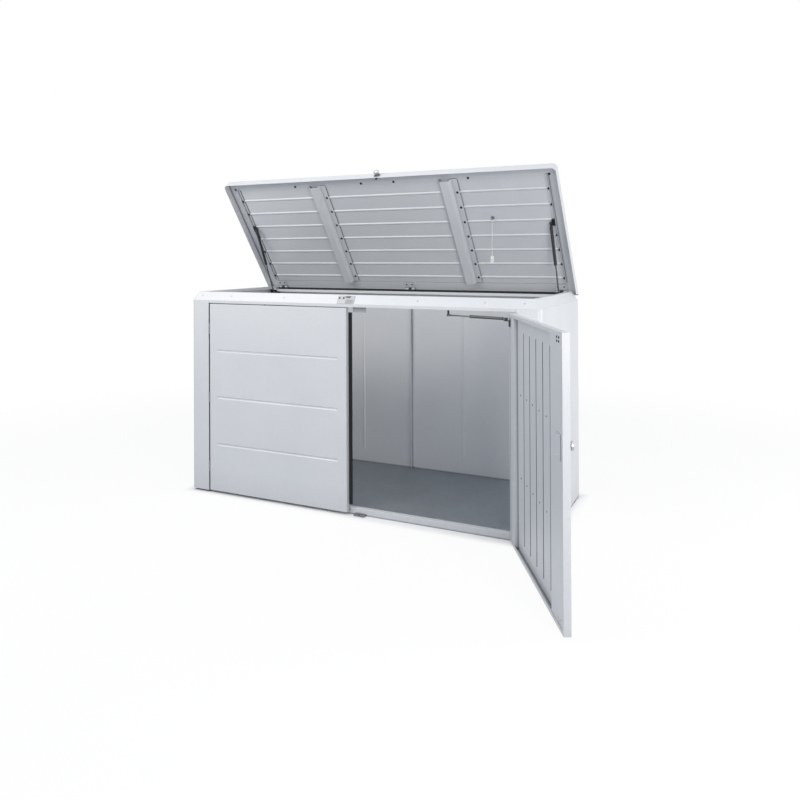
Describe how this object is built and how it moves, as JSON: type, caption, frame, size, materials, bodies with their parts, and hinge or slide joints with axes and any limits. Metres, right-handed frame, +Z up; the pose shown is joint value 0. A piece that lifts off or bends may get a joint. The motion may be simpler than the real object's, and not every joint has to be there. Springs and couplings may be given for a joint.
{
  "type": "garden storage box",
  "caption": "Long low sheet-steel garden cabinet with double front doors and a gas-strut top lid that hinges up at the back for loading from above.",
  "frame": {"origin": "on the ground under the middle of the cabinet's footprint", "axes": "+Z up, +X along the front to the right as seen from the front, +Y from the doors to the back"},
  "size_m": [2.2906, 1.6257, 1.7944],
  "materials": {
    "coated_sheet": "light silver powder coat on zinc steel sheet",
    "floor_sheet": "zinc steel sheet, dulled",
    "seal_rubber": "matte black rubber",
    "black_steel": "black coated steel",
    "hinge_steel": "zinc plated steel",
    "lock_steel": "satin steel",
    "knob_metal": "satin turned steel",
    "spring_tube": "gloss black tube",
    "spring_rod": "hard dark chrome",
    "white_cord": "braided polyester",
    "white_plastic": "moulded"
  },
  "bodies": {
    "cabinet": {"left_side_wall": "coated_sheet", "right_side_wall": "coated_sheet", "post_liners": "coated_sheet", "rear_wall_left": "coated_sheet", "rear_wall_right": "coated_sheet", "front_sill": "coated_sheet", "base_rails": "floor_sheet", "floor_supports": "floor_sheet", "floor_panel": "floor_sheet", "front_rim": "coated_sheet", "left_rim": "coated_sheet", "right_rim": "coated_sheet", "rear_rim": "coated_sheet", "rear_seal": "seal_rubber", "front_lintel": "coated_sheet", "door_stop": "hinge_steel", "lid_strike": "hinge_steel", "door_hinge_leaves": "hinge_steel", "hinge_pins": "hinge_steel", "lid_hinge_blocks": "black_steel", "strut_wall_studs": "black_steel", "stay_studs": "black_steel", "bolt_keeper": "hinge_steel"},
    "lid": {"lid_skin": "coated_sheet", "lid_front_rail": "coated_sheet", "lid_rear_rail": "coated_sheet", "lid_side_rails": "coated_sheet", "lid_stiffeners": "coated_sheet", "lid_hinge_leaves": "coated_sheet", "strut_lid_brackets": "black_steel", "lid_lock_case": "lock_steel", "cord_eye": "hinge_steel"},
    "lid_lock": {"lid_knob": "knob_metal", "lid_cam": "black_steel"},
    "left_door": {"left_door_skin": "coated_sheet", "left_door_liner": "coated_sheet", "left_door_stiffeners": "coated_sheet", "left_door_hinge_leaves": "hinge_steel", "left_door_stay_bracket": "black_steel", "left_door_seal": "seal_rubber"},
    "right_door": {"right_door_skin": "coated_sheet", "right_door_liner": "coated_sheet", "right_door_stiffeners": "coated_sheet", "right_door_hinge_leaves": "hinge_steel", "right_door_stay_bracket": "black_steel", "door_lock_case": "coated_sheet"},
    "door_lock": {"door_knob": "knob_metal"},
    "top_bolt": {"door_top_bolt": "hinge_steel"},
    "bottom_bolt": {"door_bottom_bolt": "hinge_steel"},
    "cord": {"lifting_cord": "white_cord", "cord_clip": "white_plastic"},
    "left_strut_tube": {"left_strut_tube": "spring_tube"},
    "left_strut_rod": {"left_strut_rod": "spring_rod"},
    "left_stay_tube": {"left_stay_tube": "spring_tube"},
    "left_stay_rod": {"left_stay_rod": "spring_rod"},
    "right_strut_tube": {"right_strut_tube": "spring_tube"},
    "right_strut_rod": {"right_strut_rod": "spring_rod"},
    "right_stay_tube": {"right_stay_tube": "spring_tube"},
    "right_stay_rod": {"right_stay_rod": "spring_rod"}
  },
  "joints": [
    {"name": "lid_hinge", "type": "hinge", "parent": "cabinet", "child": "lid", "pos_m": [0, 0.4, 1.12], "axis": [-1, 0, 0], "range_deg": [-52.7, 0], "stiffness_Nm_per_rad": 22.8, "springref_deg": 170.74},
    {"name": "lid_knob_turn", "type": "hinge", "parent": "lid", "child": "lid_lock", "pos_m": [0.025, -0.10646, 1.76502], "axis": [0, 0.606, -0.7955], "range_deg": [0, 90]},
    {"name": "left_door_hinge", "type": "hinge", "parent": "cabinet", "child": "left_door", "pos_m": [-0.878, -0.42, 0.5], "axis": [0, 0, -1], "range_deg": [0, 118]},
    {"name": "right_door_hinge", "type": "hinge", "parent": "cabinet", "child": "right_door", "pos_m": [0.878, -0.42, 0.5], "axis": [0, 0, 1], "range_deg": [-118, 0]},
    {"name": "door_knob_turn", "type": "hinge", "parent": "right_door", "child": "door_lock", "pos_m": [1.26156, -1.14137, 0.656], "axis": [0.8829, 0.4695, 0], "range_deg": [0, 90]},
    {"name": "top_bolt_slide", "type": "slide", "parent": "right_door", "child": "top_bolt", "axis": [0, 0, 1], "range_m": [0, 0.0101]},
    {"name": "bottom_bolt_slide", "type": "slide", "parent": "right_door", "child": "bottom_bolt", "axis": [0, 0, -1], "range_m": [0, 0.0101]},
    {"name": "cord_swing", "type": "hinge", "parent": "lid", "child": "cord", "pos_m": [0.612, 0.09124, 1.51837], "axis": [-1, 0, 0], "range_deg": [0, 52.8]},
    {"name": "left_strut_tilt", "type": "hinge", "parent": "lid", "child": "left_strut_tube", "pos_m": [-0.922, 0.10803, 1.48842], "axis": [-1, 0, 0], "range_deg": [-2.78, 0]},
    {"name": "left_strut_slide", "type": "slide", "parent": "left_strut_tube", "child": "left_strut_rod", "axis": [0, 0.4319, -0.9019], "range_m": [-0.0934, 0]},
    {"name": "right_strut_tilt", "type": "hinge", "parent": "lid", "child": "right_strut_tube", "pos_m": [0.922, 0.10803, 1.48842], "axis": [-1, 0, 0], "range_deg": [-2.78, 0]},
    {"name": "right_strut_slide", "type": "slide", "parent": "right_strut_tube", "child": "right_strut_rod", "axis": [0, 0.4319, -0.9019], "range_m": [-0.0934, 0]},
    {"name": "left_stay_swing", "type": "hinge", "parent": "left_door", "child": "left_stay_tube", "pos_m": [-0.853, -0.374, 1.036], "axis": [0, 0, -1], "range_deg": [-133.98, 0]},
    {"name": "left_stay_slide", "type": "slide", "parent": "left_stay_tube", "child": "left_stay_rod", "axis": [1, 0.0063, 0], "range_m": [0, 0.0093]},
    {"name": "right_stay_swing", "type": "hinge", "parent": "right_door", "child": "right_stay_tube", "pos_m": [0.84912, -0.46367, 1.036], "axis": [0, 0, 1], "range_deg": [0, 133.98]},
    {"name": "right_stay_slide", "type": "slide", "parent": "right_stay_tube", "child": "right_stay_rod", "axis": [-0.96, 0.2801, 0], "range_m": [-0.0093, 0]}
  ],
  "couplings": [
    {"joint": "top_bolt_slide", "follows": "door_knob_turn", "m_per_rad": 0.0063662},
    {"joint": "bottom_bolt_slide", "follows": "door_knob_turn", "m_per_rad": 0.0063662},
    {"joint": "cord_swing", "follows": "lid_hinge", "ratio": -1},
    {"joint": "left_strut_tilt", "follows": "lid_hinge", "ratio": 0.052636},
    {"joint": "left_strut_slide", "follows": "lid_hinge", "m_per_rad": 0.10148},
    {"joint": "right_strut_tilt", "follows": "lid_hinge", "ratio": 0.052636},
    {"joint": "right_strut_slide", "follows": "lid_hinge", "m_per_rad": 0.10148},
    {"joint": "left_stay_swing", "follows": "left_door_hinge", "ratio": -1.1348},
    {"joint": "left_stay_slide", "follows": "left_door_hinge", "m_per_rad": 0.0044756},
    {"joint": "right_stay_swing", "follows": "right_door_hinge", "ratio": -1.1348},
    {"joint": "right_stay_slide", "follows": "right_door_hinge", "m_per_rad": 0.0044756}
  ]
}
